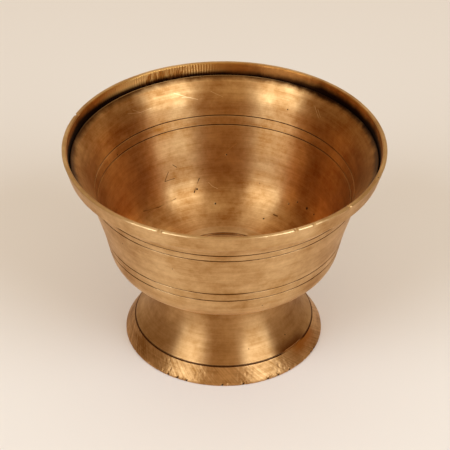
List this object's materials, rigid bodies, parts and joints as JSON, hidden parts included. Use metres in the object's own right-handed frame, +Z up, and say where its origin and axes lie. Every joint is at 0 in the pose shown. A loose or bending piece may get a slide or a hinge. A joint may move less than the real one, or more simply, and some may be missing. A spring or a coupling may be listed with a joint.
{
  "type": "shaving bowl",
  "caption": "Footed brass bowl with a flared mouth, a tapered collar standing above the lip and a hollow waisted foot on a filed base ring, for lathering soap.",
  "frame": {"origin": "centre of the base ring's underside, on the surface that the bowl stands on", "axes": "+Z up along the bowl's axis; +X and +Y are two radii at right angles, free because the bowl is round"},
  "size_m": [0.13, 0.13, 0.0909],
  "materials": {
    "wall_brass": "satin turned, aged",
    "plug_brass": "satin turned, tarnished",
    "collar_brass": "satin, worn bright on the edge",
    "rim_braze": "tarnished black",
    "foot_brass": "satin turned, aged",
    "neck_braze": "tarnished dark",
    "filed_brass": "filed and hammered",
    "base_braze": "tarnished black"
  },
  "bodies": {
    "root": {"bowl_body": "wall_brass", "floor_plug": "plug_brass", "rim_collar": "collar_brass", "rim_braze": "rim_braze", "foot": "foot_brass", "neck_braze": "neck_braze", "base_ring": "filed_brass", "base_braze": "base_braze"}
  },
  "joints": []
}
